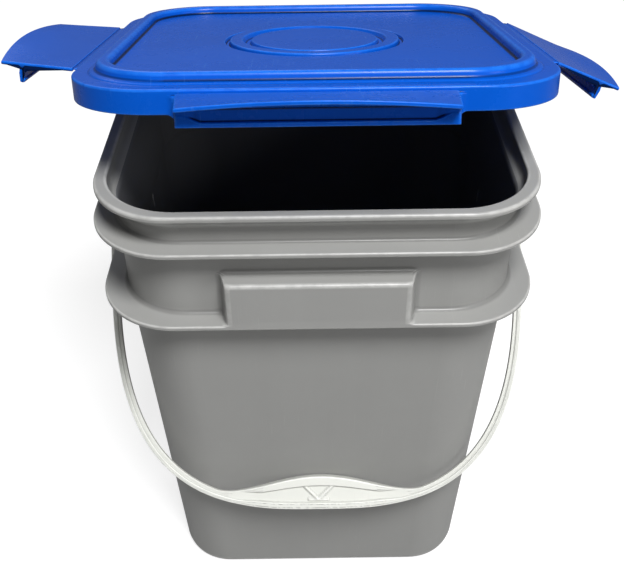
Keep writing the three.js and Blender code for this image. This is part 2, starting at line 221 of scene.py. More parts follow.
# Joins closed shells into one mesh, with all faces outwards, and stores how sharply each point stands
# out (edge) or sits in a corner (crease): the mean, over its neighbours, of the direction to them
# along the point's own normal.
def makePiece(name, shells, materials):
    points, faces, slots, start = [], [], [], 0
    for shell in shells:
        turn = -1 if signedVolume(shell) < 0 else 1
        quads = shell["quads"][:, ::turn] + start
        tris = shell["tris"][:, ::turn] + start
        faces += quads.tolist() + tris.tolist()
        mask = shell.get("slots")
        slots.append(np.zeros(len(quads) + len(tris), int) if mask is None else mask)
        points.append(shell["points"])
        start += len(shell["points"])
    mesh = bpy.data.meshes.new(name)
    points = np.concatenate(points) * 0.001
    mesh.from_pydata(points.tolist(), [], faces)
    mesh.polygons.foreach_set("use_smooth", np.ones(len(faces), bool))
    for material in materials:
        mesh.materials.append(material)
    mesh.polygons.foreach_set("material_index", np.concatenate(slots).astype(np.int32))
    mesh.validate()
    mesh.update()
    count = len(mesh.vertices)
    normal = np.zeros(count * 3, np.float32)
    mesh.vertices.foreach_get("normal", normal)
    place = np.zeros(count * 3, np.float32)
    mesh.vertices.foreach_get("co", place)
    ends = np.zeros(len(mesh.edges) * 2, np.int32)
    mesh.edges.foreach_get("vertices", ends)
    normal, place, ends = normal.reshape(-1, 3), place.reshape(-1, 3), ends.reshape(-1, 2)
    # each edge counts once from either end
    ends = np.concatenate([ends, ends[:, ::-1]])
    step = place[ends[:, 1]] - place[ends[:, 0]]
    step /= np.maximum(np.linalg.norm(step, axis=1, keepdims=True), 1e-9)
    rise = np.sum(step * normal[ends[:, 0]], 1)
    total = np.bincount(ends[:, 0], rise, count)
    number = np.maximum(np.bincount(ends[:, 0], minlength=count), 1)
    bend = total / number
    # the materials use these two masks to paint highlight on convex edges and shade in creases
    for label, sign in (("edge", -1), ("crease", 1)):
        value = smooth(0.015, 0.09, sign * bend)
        layer = mesh.attributes.new(label, "FLOAT", "POINT")
        layer.data.foreach_set("value", value.astype(np.float32))
    piece = bpy.data.objects.new(name, mesh)
    bpy.context.scene.collection.objects.link(piece)
    return piece


# Linear colour from display values up to 255, by the display's own curve: a straight line for the
# darkest values and a power of 2.4 above them.
def colourOf(red, green, blue):
    share = np.array([red, green, blue]) / 255
    value = np.where(share <= 0.04045, share / 12.92, ((share + 0.055) / 1.055) ** 2.4)
    return (*value.tolist(), 1.0)


# An empty shader group with its sockets: inputs are (name, kind, value), outputs (name, kind).
def newGroup(name, inputs, outputs):
    group = bpy.data.node_groups.new(name, "ShaderNodeTree")
    for label, kind, value in inputs:
        socket = group.interface.new_socket(
            name=label, in_out="INPUT", socket_type="NodeSocket" + kind)
        socket.default_value = value
    for label, kind in outputs:
        group.interface.new_socket(name=label, in_out="OUTPUT", socket_type="NodeSocket" + kind)
    return group, group.nodes.new("NodeGroupInput"), group.nodes.new("NodeGroupOutput")


# Feeds a socket: a link from another socket, or a constant.
def feed(tree, socket, value):
    if isinstance(value, bpy.types.NodeSocket):
        tree.links.new(value, socket)
    else:
        socket.default_value = value


# A shader node of a kind, with its settings and its inputs. Inputs are given by name, or as in0, in1
# and so on where names repeat.
def addNode(tree, kind, settings=None, **values):
    node = tree.nodes.new("ShaderNode" + kind)
    for label, value in (settings or {}).items():
        setattr(node, label, value)
    for label, value in values.items():
        numbered = label.startswith("in") and label[2:].isdigit()
        feed(tree, node.inputs[int(label[2:]) if numbered else label], value)
    return node


# One step of arithmetic: the first value, the operation, the second value.
def mathNode(tree, operation, first, second):
    return addNode(tree, "Math", {"operation": operation}, in0=first, in1=second).outputs[0]


# A blend of two colours: first times (1 - factor) plus second times factor.
def mixColour(tree, factor, first, second):
    node = addNode(tree, "Mix", {"data_type": "RGBA"}, in0=factor, in6=first, in7=second)
    return node.outputs[2]


# A value carried by a smooth step from the span low to high over to the span start to end.
def ramp(tree, value, low, high, start=0.0, end=1.0):
    settings = {"interpolation_type": "SMOOTHSTEP"}
    node = addNode(tree, "MapRange", settings, in0=value, in1=low, in2=high, in3=start, in4=end)
    return node.outputs[0]


# The skin of a moulding: broad cloudy patches and faint flow streaks tint the colour, and two sizes of
# soft grain make the orange-peel bump. Roughness wanders with the clouds.
def buildMouldedSkin():
    tree, source, target = newGroup(
        "mouldedSkin",
        [("Colour", "Color", (0.5, 0.5, 0.5, 1)), ("Mottle", "Float", 0.1), ("Streaks", "Float", 0.1),
         ("Roughness", "Float", 0.4), ("Grain", "Float", 0.2), ("Grain Size", "Float", 900.0)],
        [("Colour", "Color"), ("Roughness", "Float"), ("Height", "Float")],
    )
    place = addNode(tree, "TexCoord").outputs["Object"]
    cloud = addNode(tree, "TexNoise", Vector=place, Scale=14.0, Detail=4.0, Roughness=0.55)
    cloud = mathNode(tree, "MULTIPLY", cloud.outputs["Fac"], 0.7)
    fine = addNode(tree, "TexNoise", Vector=place, Scale=95.0, Detail=3.0, Roughness=0.6)
    fine = mathNode(tree, "MULTIPLY", fine.outputs["Fac"], 0.3)
    stretched = addNode(tree, "Mapping", Vector=place, Scale=(60.0, 60.0, 5.0)).outputs[0]
    streak = addNode(tree, "TexNoise", Vector=stretched, Scale=1.0, Detail=3.0, Roughness=0.5)
    streak = mathNode(tree, "SUBTRACT", streak.outputs["Fac"], 0.5)
    tone = mathNode(tree, "SUBTRACT", mathNode(tree, "ADD", cloud, fine), 0.5)
    mottle = mathNode(tree, "MULTIPLY", tone, source.outputs["Mottle"])
    flow = mathNode(tree, "MULTIPLY", streak, source.outputs["Streaks"])
    shift = mathNode(tree, "ADD", mathNode(tree, "ADD", mottle, flow), 1.0)
    scaled = addNode(tree, "VectorMath", {"operation": "SCALE"}, in0=source.outputs["Colour"])
    tree.links.new(shift, scaled.inputs["Scale"])
    tree.links.new(scaled.outputs[0], target.inputs["Colour"])
    rough = mathNode(tree, "ADD", source.outputs["Roughness"], mathNode(tree, "MULTIPLY", tone, 0.22))
    tree.links.new(rough, target.inputs["Roughness"])
    peel = addNode(tree, "TexNoise", Vector=place, Scale=source.outputs["Grain Size"], Detail=2.0)
    peel = mathNode(tree, "MULTIPLY", peel.outputs["Fac"], source.outputs["Grain"])
    wave = addNode(tree, "TexNoise", Vector=place, Scale=70.0, Detail=1.0).outputs["Fac"]
    height = mathNode(tree, "ADD", peel, mathNode(tree, "MULTIPLY", wave, 0.55))
    tree.links.new(height, target.inputs["Height"])
    return tree


# Marks of use: short fine scratches where stretched noise crosses a level, broken up by a slower
# noise, and specks of dust where a cell noise is small. Both are masks.
def buildHandlingMarks():
    tree, source, target = newGroup(
        "handlingMarks",
        [("Scratch Amount", "Float", 0.3), ("Dust Amount", "Float", 0.2),
         ("Turn", "Vector", (0.4, 0.3, 0.7))],
        [("Scratches", "Float"), ("Dust", "Float")],
    )
    place = addNode(tree, "TexCoord").outputs["Object"]
    turnedPlace = addNode(tree, "Mapping", Vector=place, Rotation=source.outputs["Turn"],
                          Scale=(900.0, 26.0, 40.0)).outputs[0]
    line = addNode(tree, "TexNoise", Vector=turnedPlace, Scale=1.0, Detail=2.0, Roughness=0.4)
    patch = addNode(tree, "TexNoise", Vector=place, Scale=22.0, Detail=3.0).outputs["Fac"]
    thin = mathNode(tree, "MULTIPLY", ramp(tree, line.outputs["Fac"], 0.64, 0.72),
                    ramp(tree, patch, 0.50, 0.66))
    scratches = mathNode(tree, "MULTIPLY", thin, source.outputs["Scratch Amount"])
    tree.links.new(scratches, target.inputs["Scratches"])
    cell = addNode(tree, "TexVoronoi", Vector=place, Scale=420.0).outputs["Distance"]
    speck = mathNode(tree, "MULTIPLY", ramp(tree, cell, 0.16, 0.05), ramp(tree, patch, 0.46, 0.60))
    dust = mathNode(tree, "MULTIPLY", speck, source.outputs["Dust Amount"])
    tree.links.new(dust, target.inputs["Dust"])
    return tree


# Painted light at the corners of a moulding, from the two masks that each piece carries: convex edges a
# little paler, partly painted highlight and partly rubbed wear, and creases a little darker, which is
# painted shade.
def buildCornerHighlightAndShade():
    tree, source, target = newGroup(
        "cornerHighlightAndShade",
        [("Colour", "Color", (0.5, 0.5, 0.5, 1)), ("Edge", "Float", 0.0), ("Crease", "Float", 0.0),
         ("Edge Colour", "Color", (0.8, 0.8, 0.8, 1)), ("Edge Share", "Float", 0.2),
         ("Crease Share", "Float", 0.3)],
        [("Colour", "Color")],
    )
    place = addNode(tree, "TexCoord").outputs["Object"]
    edgeBreakup = addNode(tree, "TexNoise", Vector=place, Scale=130.0, Detail=3.0).outputs["Fac"]
    # paler convex edges, broken up by noise: partly painted highlight and partly rubbed wear
    share = mathNode(tree, "MULTIPLY", source.outputs["Edge"], source.outputs["Edge Share"])
    share = mathNode(tree, "MULTIPLY", share, ramp(tree, edgeBreakup, 0.30, 0.62, 0.45, 1.0))
    lighter = mixColour(tree, share, source.outputs["Colour"], source.outputs["Edge Colour"])
    # darker creases: painted shade
    dark = mathNode(tree, "MULTIPLY", source.outputs["Crease"], source.outputs["Crease Share"])
    darker = mixColour(tree, dark, lighter, (0.0, 0.0, 0.0, 1.0))
    tree.links.new(darker, target.inputs["Colour"])
    return tree


mouldedSkin = buildMouldedSkin()
handlingMarks = buildHandlingMarks()
cornerHighlightAndShade = buildCornerHighlightAndShade()


# A shader group placed in a material. An underscore in an input's name stands for a space.
def placeGroup(tree, group, **values):
    node = addNode(tree, "Group", {"node_tree": group})
    for label, value in values.items():
        feed(tree, node.inputs[label.replace("_", " ")], value)
    return node


# A moulded plastic from one dictionary: skin, painted highlight on edges and painted shade in creases,
# scratches and dust feed one shader.
def mouldedPlastic(name, look):
    material = bpy.data.materials.new(name)
    material.use_nodes = True
    material.diffuse_color = look["colour"]
    tree = material.node_tree
    shader = tree.nodes["Principled BSDF"]
    edge = addNode(tree, "Attribute", {"attribute_name": "edge"}).outputs["Fac"]
    crease = addNode(tree, "Attribute", {"attribute_name": "crease"}).outputs["Fac"]
    skin = placeGroup(tree, mouldedSkin, Colour=look["colour"], Mottle=look["mottle"],
                      Streaks=look["streaks"], Roughness=look["roughness"], Grain=look["grain"],
                      Grain_Size=look["grainSize"])
    marks = placeGroup(tree, handlingMarks, Scratch_Amount=look["scratches"],
                       Dust_Amount=look["dust"], Turn=look["scratchTurn"])
    # the edge and crease masks paint highlight on convex edges and shade into creases
    tone = placeGroup(tree, cornerHighlightAndShade, Colour=skin.outputs["Colour"], Edge=edge, Crease=crease,
                      Edge_Colour=look["edgeHighlightWearColour"], Edge_Share=look["edgeShare"],
                      Crease_Share=look["creaseShadeShare"])
    scratched = mixColour(tree, marks.outputs["Scratches"], tone.outputs["Colour"],
                          look["scratchColour"])
    dusty = mixColour(tree, marks.outputs["Dust"], scratched, look["dustColour"])
    tree.links.new(dusty, shader.inputs["Base Color"])
    rough = mathNode(tree, "ADD", skin.outputs["Roughness"],
                     mathNode(tree, "MULTIPLY", marks.outputs["Dust"], 0.25))
    tree.links.new(rough, shader.inputs["Roughness"])
    groove = mathNode(tree, "MULTIPLY", marks.outputs["Scratches"], 0.5)
    height = mathNode(tree, "SUBTRACT", skin.outputs["Height"], groove)
    bump = addNode(tree, "Bump", Strength=look["bump"], Distance=0.0004, Height=height)
    tree.links.new(bump.outputs[0], shader.inputs["Normal"])
    shader.inputs["IOR"].default_value = look["ior"]
    shader.inputs["Specular IOR Level"].default_value = look["specular"]
    return material


# In each look, the edge colour and its share paint paler convex edges, partly highlight and partly
# rubbed wear, and the crease share paints shade into creases.
greyLook = {
    "colour": colourOf(150, 150, 148), "mottle": 0.10, "streaks": 0.05,
    "roughness": 0.36, "grain": 0.30, "grainSize": 900.0, "bump": 0.22,
    "edgeHighlightWearColour": colourOf(205, 205, 202), "edgeShare": 0.5, "creaseShadeShare": 0.35,
    "scratches": 0.10, "scratchColour": colourOf(190, 190, 186), "scratchTurn": (0.5, 0.2, 0.8),
    "dust": 0.10, "dustColour": colourOf(196, 193, 184), "ior": 1.5, "specular": 0.5,
}
# The inside is given a darker grey than the outside: painted shade, standing in for the shadow that the
# lid casts into the pail.
insideShadeLook = {
    **greyLook,
    "colour": colourOf(108, 109, 112), "edgeHighlightWearColour": colourOf(120, 120, 120), "edgeShare": 0.2,
    "roughness": 0.55, "scratchColour": colourOf(58, 58, 58), "dust": 0.05, "specular": 0.3,
}
blueLook = {
    "colour": colourOf(0, 80, 188), "mottle": 0.12, "streaks": 0.05,
    "roughness": 0.27, "grain": 0.22, "grainSize": 1100.0, "bump": 0.2,
    "edgeHighlightWearColour": colourOf(40, 125, 235), "edgeShare": 0.45, "creaseShadeShare": 0.9,
    "scratches": 0.20, "scratchColour": colourOf(90, 150, 225), "scratchTurn": (0.1, 0.9, 0.4),
    "dust": 0.03, "dustColour": colourOf(120, 155, 205), "ior": 1.49, "specular": 0.18,
}
whiteLook = {
    "colour": colourOf(214, 215, 209), "mottle": 0.05, "streaks": 0.03,
    "roughness": 0.38, "grain": 0.20, "grainSize": 1000.0, "bump": 0.18,
    "edgeHighlightWearColour": colourOf(252, 252, 248), "edgeShare": 0.4, "creaseShadeShare": 0.22,
    "scratches": 0.22, "scratchColour": colourOf(196, 194, 184), "scratchTurn": (0.9, 0.1, 0.2),
    "dust": 0.25, "dustColour": colourOf(176, 170, 154), "ior": 1.49, "specular": 0.5,
}
rubberLook = {
    **insideShadeLook,
    "colour": colourOf(38, 39, 41), "roughness": 0.75, "grain": 0.7, "bump": 0.5,
    "edgeHighlightWearColour": colourOf(66, 66, 68), "dust": 0.2, "dustColour": colourOf(96, 94, 90),
}
greyPlastic = mouldedPlastic("greyPlastic", greyLook)
paintedShadeInside = mouldedPlastic("paintedShadeInside", insideShadeLook)
bluePlastic = mouldedPlastic("bluePlastic", blueLook)
whitePlastic = mouldedPlastic("whitePlastic", whiteLook)
foamRubber = mouldedPlastic("foamRubber", rubberLook)
print("materials made")

pailSizes = {
    "topHalf": 128.0,  # half width of the tapered body under the lower flange
    "draft": 0.0423,
    "neckHalf": 127.5,
    "wall": 2.4,
    "floor": 3.0,
    "lowerFlange": (141.9, 288.4, 291.4),  # half width, underside, top
    "upperFlange": (140.7, 343.3, 346.3),
    "rim": (129.9, 137.5, 366.8, 370.8),  # inner and outer half width, underside, top
    "groove": (130.3, 131.1, 138.3, 139.1),  # corners on the lower flange's underside
    "baseHollow": 1.4,  # how far the middle of the underside is raised
    "neckTop": 356.8,  # where the neck starts to lean out to the rim
    # under this height the inside is coloured darker: painted shade for the shadow in the pail under
    # the lid
    "rimRoot": 361.8,
    "darkBelow": 358.2,  # the inside has its own plastic under this height
    "gripHalf": 57.0,  # the grip's half width at its face, and at the wall
    "gripRoot": 61.0,
    "gripFace": 141.6,
    "gripTop": 323.4,
    "gripRoof": 2.8,  # thickness over the hollow
    "hollowHalf": 54.6,
    "ear": 11.0,
    "bore": 5.6,
    "boreDepth": 10.6,
}


# The pail is one loft from the middle of its underside, up the outside, over the rim and down the
# inside. A profile row is (half width, height, corner cut). Two changed profiles, the grip block and
# the hollow under it, are blended in over the middle of the front and the rear: a point moves by the
# difference of the profiles times the height of a soft window across.
def makePail(size):
    flangeOut, flangeUnder, flangeTop = size["lowerFlange"]
    upperOut, upperUnder, upperTop = size["upperFlange"]
    rimIn, rimOut, rimUnder, rimTop = size["rim"]
    baseHalf = size["topHalf"] - size["draft"] * flangeUnder
    innerBase = baseHalf - size["wall"] + size["draft"] * size["floor"]
    neck, wall, topHalf, floor = size["neckHalf"], size["wall"], size["topHalf"], size["floor"]
    face, gripTop = size["gripFace"], size["gripTop"]
    grooveIn, grooveInEdge, grooveOutEdge, grooveOut = size["groove"]
    raised, neckTop, rimRoot = size["baseHollow"], size["neckTop"], size["rimRoot"]
    roof = gripTop - size["gripRoof"]
    plain = [
        (0, raised, 0), (60, raised, 2), (90, raised, 1.2), (92.5, 0, 1), (baseHalf, 0, 7),
        (topHalf, flangeUnder, 1.4), (grooveIn, flangeUnder, 0.2), (grooveInEdge, flangeUnder, 0.3),
        (grooveOutEdge, flangeUnder, 0.3), (grooveOut, flangeUnder, 0.2),
        (flangeOut, flangeUnder, 0.8), (flangeOut, flangeTop, 1.1), (neck, flangeTop, 3.0),
        (neck, gripTop - 1.5, 0.7), (neck, gripTop + 1.4, 0.9), (neck, 333, 2),
        (neck, upperUnder, 2.2), (upperOut, upperUnder, 0.8), (upperOut, upperTop, 1.1),
        (neck, upperTop, 2.4), (neck, neckTop, 3), (rimIn + wall, rimRoot, 2),
        (rimIn + wall, rimUnder, 1.4), (rimOut, rimUnder, 1.2), (rimOut, rimTop, 1.9),
        (rimIn, rimTop, 1.9), (rimIn, rimRoot, 3), (neck - wall, neckTop, 3),
        (neck - wall, flangeTop, 2), (topHalf - wall, flangeUnder, 2), (innerBase, floor, 8),
        (60, floor, 3), (0, floor, 0),
    ]
    grip = list(plain)
    grip[11:15] = [(face + 0.15, flangeTop - 0.4, 0.4), (face, flangeTop + 3, 1.2),
                   (face, gripTop, 2.6), (neck, gripTop, 3.2)]
    hollow = list(plain)
    hollow[6:10] = [(grooveIn, flangeUnder, 0.3), (grooveIn, roof, 1.2),
                    (grooveOut, roof, 1.2), (grooveOut, flangeUnder, 0.3)]
    rows = [np.array(one, float) for one in (plain, grip, hollow)]
    lines = [softLine(one[:, :2], one[:, 2], steps=4, inner=1) for one in rows]
    # each window runs from beside the grip to its middle, as (across, depth)
    gripDepth, hollowDepth = face - neck, 8
    windows = [
        softLine([(78, 0), (size["gripRoot"], 0), (size["gripHalf"], gripDepth), (0, gripDepth)],
                 (0, 3.2, 2.4, 0)),
        softLine([(70, 0), (size["hollowHalf"] + 0.6, 0), (size["hollowHalf"], hollowDepth),
                  (0, hollowDepth)], (0, 0.6, 1.0, 0), steps=4),
    ]
    stops = mirroredStops([windows[0][:, 0], windows[1][:, 0], np.linspace(0, 50, 6)])

    def change(across, out, height, side):
        if side % 2:
            return across, out, height
        for window, line in zip(windows, lines[1:]):
            order = np.argsort(window[:, 0])
            share = np.interp(np.abs(across), window[order, 0], window[order, 1] / window[-1, 1])
            move = line - lines[0]
            out = out + share * move[:, :1]
            height = height + share * move[:, 1:]
        return across, out, height

    grid = squareLoft(lines[0], stops, turns=18, change=change)
    shell = closedGrid(grid)
    rowHeight = lines[0][:, 1]
    passedRim = np.arange(len(rowHeight)) > np.argmax(rowHeight)
    # faces inside the pail under that height take the darker plastic, which is painted shade
    inside = passedRim & (rowHeight < size["darkBelow"])
    # one slot for each face: the bands between rows, then the fans at both ends
    rowSlots = np.concatenate([inside[1:-2], [False, True]]).astype(int)
    shell["slots"] = np.repeat(rowSlots, grid.shape[1])
    shells = [shell]
    earFace = flangeOut - 1
    earRoot = neck - 1
    ear, bore, boreEnd = size["ear"], size["bore"], earFace - size["boreDepth"]
    outline = np.array([(0, earRoot, 0), (ear + 1, earRoot, 0.4), (ear, earFace, 1.2),
                        (bore, earFace, 0.7), (bore, boreEnd, 0.5), (0, boreEnd, 0)])
    outline = softLine(outline[:, :2], outline[:, 2], steps=4, inner=1)
    for side in (-1, 1):
        shells.append(turned(outline, (0, 0, pivotHeight), side))
        # a stem over the ear and a brace on either side of it
        shells.append(softBlock((side * (neck + 5), 0, flangeUnder - 2.5), (13, 4.4, 9)))
        for lean in (-17, 17):
            place = (side * (neck + 2.5), lean, flangeUnder - 6)
            shells.append(softBlock(place, (10, 2.4, 13)))
    return makePiece("pailBody", shells, [greyPlastic, paintedShadeInside])


pailBody = makePail(pailSizes)
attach(pailBody, "pail")
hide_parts("pail")
print("pail made")


# From the shut lid's own frame to its place ajar: a turn about X on the hinge line.
def lidToRest(points):
    hingeY, hingeZ = lidPlace["hingeY"], lidPlace["hingeZ"]
    x, y, z = points[..., 0], points[..., 1] - hingeY, points[..., 2] + lidPlace["below"]
    c, s = math.cos(lidPlace["tilt"]), math.sin(lidPlace["tilt"])
    return np.stack([x, hingeY + y * c + z * s, hingeZ - y * s + z * c], -1)


lidSizes = {
    "skirtHalf": 143.0,
    "skirtInner": 140.5,
    "skirtDepth": 11.5,
    "flangeTop": 2.5,
    "bead": (121.8, 130.0, 8.9),  # inner and outer half width, top
    "panelTop": 3.4,
    "emblemDisc": 43.0,
    "emblemRing": (48.6, 58.5),
    "emblemTops": (3.95, 4.5),  # of the disc and of the ring
    "grooveFloor": 1.4,  # height of the floor of the emblem's two grooves
    "panelThickness": 2.5,
    "beadWall": 2.6,
    "apronOut": 145.5,
    "apronTop": -1.0,
    "apronDepth": 15.0,
    "apronHalf": 76.0,  # half width of the apron's face, and with its sloping ends
    "apronEnd": 84.5,
}


# The lid is one loft from the middle of its top to the middle of its underside, with rows of (half
# width, height, corner cut). Rows on top, inside the bead, pass from rounded squares to circles of the
# same reach for the emblem, by a smooth share of the half width. The latch aprons are a changed profile
# blended in over the middle of each side.
def makeLid(size):
    beadIn, beadOut, beadTop = size["bead"]
    skirt, inner, depth = size["skirtHalf"], size["skirtInner"], size["skirtDepth"]
    panel, shelf = size["panelTop"], size["flangeTop"]
    disc, (ringIn, ringOut) = size["emblemDisc"], size["emblemRing"]
    discTop, ringTop = size["emblemTops"]
    groove, under, core = size["grooveFloor"], panel - size["panelThickness"], size["beadWall"]
    apronOut, apronTop, apronLow = size["apronOut"], size["apronTop"], -size["apronDepth"]
    plain = [
        (0, discTop, 0), (20, discTop, 1), (disc - 0.3, discTop, 0.7), (disc + 0.6, groove, 0.5),
        (ringIn - 1.9, groove, 0.7), (ringIn + 0.4, ringTop, 0.9), (ringOut - 1.2, ringTop, 1.0),
        (ringOut - 0.6, groove, 0.6), (ringOut + 1.6, groove, 0.6), (ringOut + 2.4, panel, 0.5),
        (70, panel, 2), (82, panel, 3), (94, panel, 3), (106, panel, 3), (117, panel, 1),
        (beadIn - 0.4, panel, 1.5), (beadIn + 0.7, beadTop, 2.6), (beadOut - 0.7, beadTop, 2.6),
        (beadOut + 0.5, shelf + 1.6, 1.3), (beadOut + 3.4, shelf + 0.9, 0.9),
        (beadOut + 4.4, shelf, 0.9), (skirt, shelf, 5), (skirt, apronTop + 0.5, 0.3),
        (skirt, apronTop - 0.6, 0.3), (skirt, -depth, 0.9), (inner, -depth, 0.8), (inner, 0, 1.5),
        (beadOut - core, 0, 1), (beadOut - core, beadTop - core, 1),
        (beadIn + core, beadTop - core, 1), (beadIn + core, under, 1), (60, under, 2), (0, under, 0),
    ]
    apron = list(plain)
    apron[22:26] = [(skirt + 0.1, apronTop + 0.3, 0.6), (apronOut, apronTop, 1.2),
                    (apronOut, apronLow, 0.9), (inner, apronLow, 0.8)]
    rows = [np.array(one, float) for one in (plain, apron)]
    line, apronLine = [softLine(one[:, :2], one[:, 2], steps=4, inner=1) for one in rows]
    end, half, rise = size["apronEnd"], size["apronHalf"], apronOut - skirt
    window = softLine([(88, 0), (end - 4.5, 0), (half, rise), (0, rise)], (0, 4.4, 0.9, 0), steps=10)
    stops = mirroredStops([window[:, 0], np.linspace(0, 72, 10)], limit=86.5)
    order = np.argsort(window[:, 0])
    widest = np.argmax(line[:, 0])
    onTop = np.arange(len(line)) < widest
    circle = np.where(onTop, 1 - smooth(62, 117, line[:, 0]), 0.0)[:, None]
    radius = line[:, :1]

    def change(across, out, height, side):
        share = np.interp(np.abs(across), window[order, 0], window[order, 1] / rise)
        move = apronLine - line
        out = out + share * move[:, :1]
        height = height + share * move[:, 1:]
        angle = np.arctan2(across[widest], out[widest])
        across = across + circle * (radius * np.sin(angle) - across)
        out = out + circle * (radius * np.cos(angle) - out)
        return across, out, height

    grid = squareLoft(line, stops, turns=20, change=change)
    return makePiece("lidShell", [closedGrid(lidToRest(grid))], [bluePlastic])


lidShell = makeLid(lidSizes)
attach(lidShell, "lid")
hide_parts("lid")
print("lid made")

gasketSizes = {"inner": 131.0, "outer": 136.4, "top": -0.3, "bottom": -1.4}


# The gasket is a closed ring: a rounded rectangle carried round the rounded square.
def makeGasket(size):
    corners = np.array([(size["inner"], size["bottom"]), (size["outer"], size["bottom"]),
                        (size["outer"], size["top"]), (size["inner"], size["top"])])
    section = softLine(corners, 0.4, closed=True, steps=3, guard=0.2, inner=1)
    grid = squareLoft(section, np.linspace(-70, 70, 9))
    shell = closedGrid(lidToRest(grid), poles=False, ring=True)
    return makePiece("lidGasketRing", [shell], [foamRubber])


lidGasketRing = makeGasket(gasketSizes)
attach(lidGasketRing, "lid")
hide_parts("lid_gasket")
print("gasket made")

latchSizes = {
    "hingeHalf": 147.0,
    "half": 76.0,
    "narrowing": 5.5,
    "width": 45.0,
    "bow": 5.0,
    "lift": 4.0,
    "thickness": 2.2,
    "root": 0.6,
    "rail": (30.8, 33.4, 10.7),  # inner and outer face, depth below the hinge plane
    "raise": {"front": 4, "right": -23, "rear": -12, "left": 5},
    "turn": {"front": 0, "right": 90, "rear": 180, "left": 270},
}


# From a latch's own frame (along the hinge, out from it, up) to its place on the lid at rest: raise
# the free edge, move out to the hinge line, turn to the latch's side, then tip with the lid.
def latchToRest(points, side, size):
    lift = math.radians(size["raise"][side])
    turn = math.radians(size["turn"][side])
    along, out, up = points[..., 0], points[..., 1], points[..., 2]
    y = -(out * math.cos(lift) - up * math.sin(lift)) - size["hingeHalf"]
    z = out * math.sin(lift) + up * math.cos(lift)
    x = along * math.cos(turn) - y * math.sin(turn)
    y = along * math.sin(turn) + y * math.cos(turn)
    return lidToRest(np.stack([x, y, z], -1))


# A latch is its cross section carried along the hinge. The section is a plate whose free edge bows out
# and lifts in the middle, and a rail below it whose face is hollowed between soft ends. The last few
# sections at both ends shrink towards the plate's middle, which rounds the ends.
def makeLatch(side, size):
    half, thick, width = size["half"], size["thickness"] / 2, size["width"]
    root, (inner, outer, depth) = size["root"], size["rail"]
    endSteps = [0, 0.08, 0.25, 0.55, 1.0, 1.8]
    spread = np.concatenate([endSteps, np.linspace(3, 20, 9), np.linspace(24, half, 14)])
    along = half - spread
    along = np.concatenate([-along, along[-2::-1]])
    share = np.abs(along) / half
    middle = 1 - share ** 2
    bow = width + size["bow"] * middle
    lift = size["lift"] * middle
    hollow = 1.5 * smooth(0.0, 0.10, 0.94 - share)
    foot = 2.2 + 3.6 * (1 - smooth(0.0, 0.16, 0.96 - share))
    foot = np.minimum(foot, depth - thick - 2.2)
    # corners of the section as (out, up, corner cut), round from the root's top
    corners = stackedCorners([
        (root, thick, 0.6), (width * 0.62, thick, 9.0),
        (bow, thick + lift, 0.8), (bow, lift - thick, 0.8),
        (width * 0.80, lift * 0.16 - thick, 2.5), (outer + 0.3 - hollow * 0.5, -thick, 1.0),
        (outer + 0.6 - hollow, -depth + foot + 0.8, 0.6), (outer + 0.9, -depth + foot, 0.6),
        (outer + 0.5, -depth, 0.6), (inner + 0.2, -depth, 0.6), (inner - 0.5, 1.5 - depth, 0.5),
        (inner + 0.2, 2.6 - depth, 0.4), (inner - 0.3, -thick, 1.5), (root, -thick, 0.6),
    ], len(along))
    section = softLine(corners[..., :2], corners[..., 2], closed=True, steps=4, guard=0.25)
    out, up = section[..., 0], section[..., 1]
    reach = (out - root) / (width - root)
    place = along[:, None] * (1 - size["narrowing"] / half * np.clip(reach, 0, 1.2))
    # the ends: a section shrinks, on a quarter circle and down to a quarter of its depth, towards the
    # middle of the plate or of the rail, whichever a point is in
    depthIn = np.clip((half - np.abs(along)) / 0.9, 0, 1)[:, None]
    shrink = 0.25 + 0.75 * np.sqrt(np.clip(1 - (1 - depthIn) ** 2, 0, 1))
    inRail = smooth(-thick - 0.4, -thick - 1.4, up)
    freeEdge = np.interp(reach, [0.6, 1.1], [0, 1]) * lift[:, None] * 0.9
    midUp = np.where(out > width * 0.75, freeEdge, 0.0)
    outTarget = out + inRail * ((inner + outer) / 2 + 0.2 - out)
    upTarget = up + (1 - inRail) * (midUp - up)
    out = outTarget + (out - outTarget) * shrink
    up = upTarget + (up - upTarget) * shrink
    shells = [closedGrid(np.stack([place, out, up], -1), poles=False, caps=True)]
    # braces behind the rail: blocks that grow from nothing under the plate to the rail, with a lower
    # edge that falls by a power of the way along
    t = np.linspace(0, 1, 14)[:, None]
    s = np.linspace(0, 2 * np.pi, 20, endpoint=False)[None, :]
    top = 0.6 - thick
    low = -thick - 0.2 - 5.0 * t ** 2.4
    braceOut = inner - 9.5 + 10.5 * t + 0 * s
    braceUp = (top + low) / 2 + (top - low) / 2 * bent(np.sin(s), 0.35)
    for share in (-0.93, -0.31, 0.31, 0.93):
        bracePlace = share * (half - 4.2) + 1.1 * bent(np.cos(s), 0.35) + 0 * t
        brace = np.stack([bracePlace, braceOut, braceUp], -1)
        shells.append(closedGrid(brace, poles=False, caps=True))
    for shell in shells:
        shell["points"] = latchToRest(shell["points"], side, size)
    return makePiece(f"{side}Latch", shells, [bluePlastic])


webSizes = {"from": -4.6, "to": 1.1, "half": 75.0, "thickness": 0.9, "up": 0.1}


